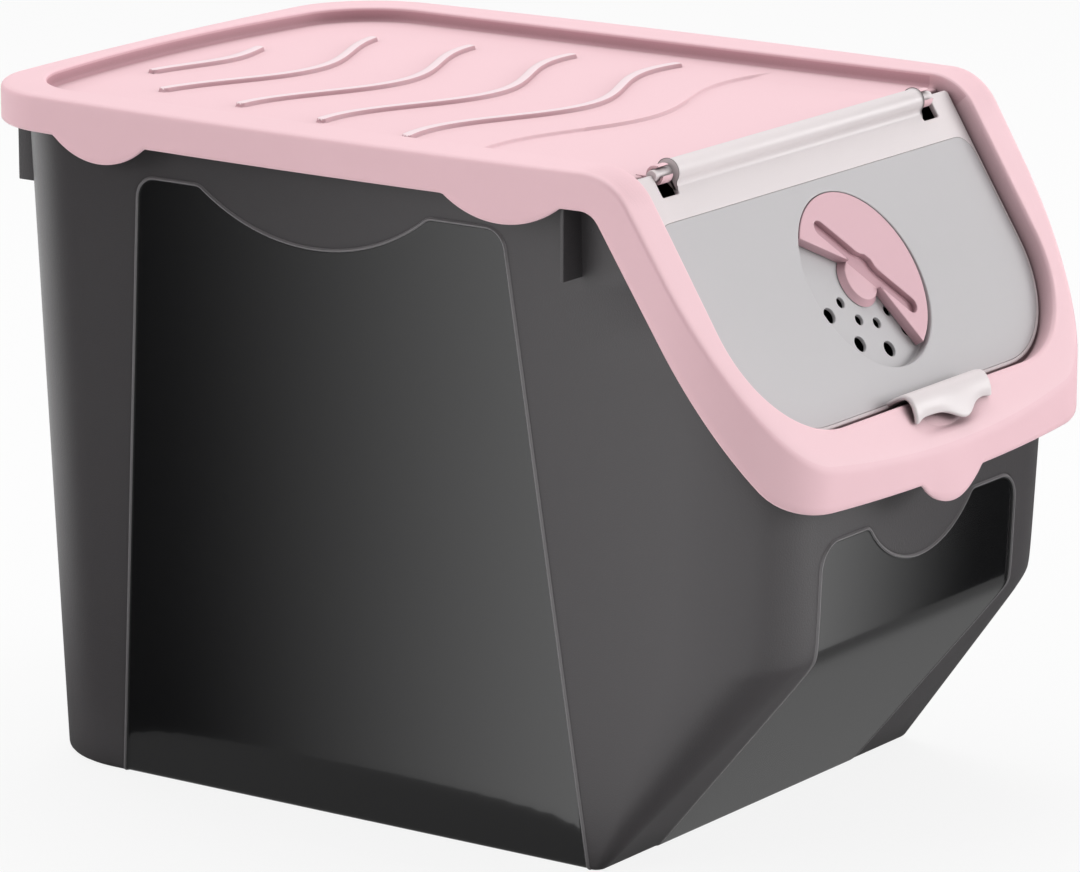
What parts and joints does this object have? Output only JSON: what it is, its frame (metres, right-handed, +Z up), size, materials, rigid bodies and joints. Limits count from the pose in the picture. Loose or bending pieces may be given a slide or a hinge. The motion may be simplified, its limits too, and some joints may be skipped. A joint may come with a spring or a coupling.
{
  "type": "potato storage bin",
  "caption": "Lidded storage bin with a tapered dark tub, a pink hood-shaped lid, a hinged sloping door and a turning vent dial.",
  "frame": {"origin": "centre of the bin's footprint, on the surface that it stands on", "axes": "+Z up, -Y towards the sloping front, +X to the right when facing along +Y"},
  "size_m": [0.276, 0.398, 0.282],
  "materials": {
    "tub_plastic": "fine-grained satin, with gloss fields",
    "lid_plastic": "satin",
    "door_plastic": "satin",
    "panel_plastic": "satin"
  },
  "bodies": {
    "tub": {"tub": "tub_plastic"},
    "lid": {"lid": "lid_plastic"},
    "door": {"door": "door_plastic", "door_panel": "panel_plastic"},
    "dial": {"vent_dial": "lid_plastic"}
  },
  "joints": [
    {"name": "lid_lift", "type": "slide", "parent": "tub", "child": "lid", "axis": [0, 0, 1], "range_m": [0, 0.12]},
    {"name": "door_hinge", "type": "hinge", "parent": "lid", "child": "door", "pos_m": [0, -0.12023, 0.27548], "axis": [-1, 0, 0], "range_deg": [0, 225]},
    {"name": "dial_turn", "type": "hinge", "parent": "door", "child": "dial", "pos_m": [0, -0.15351, 0.22317], "axis": [0, 0.848, -0.5299], "continuous": true}
  ]
}
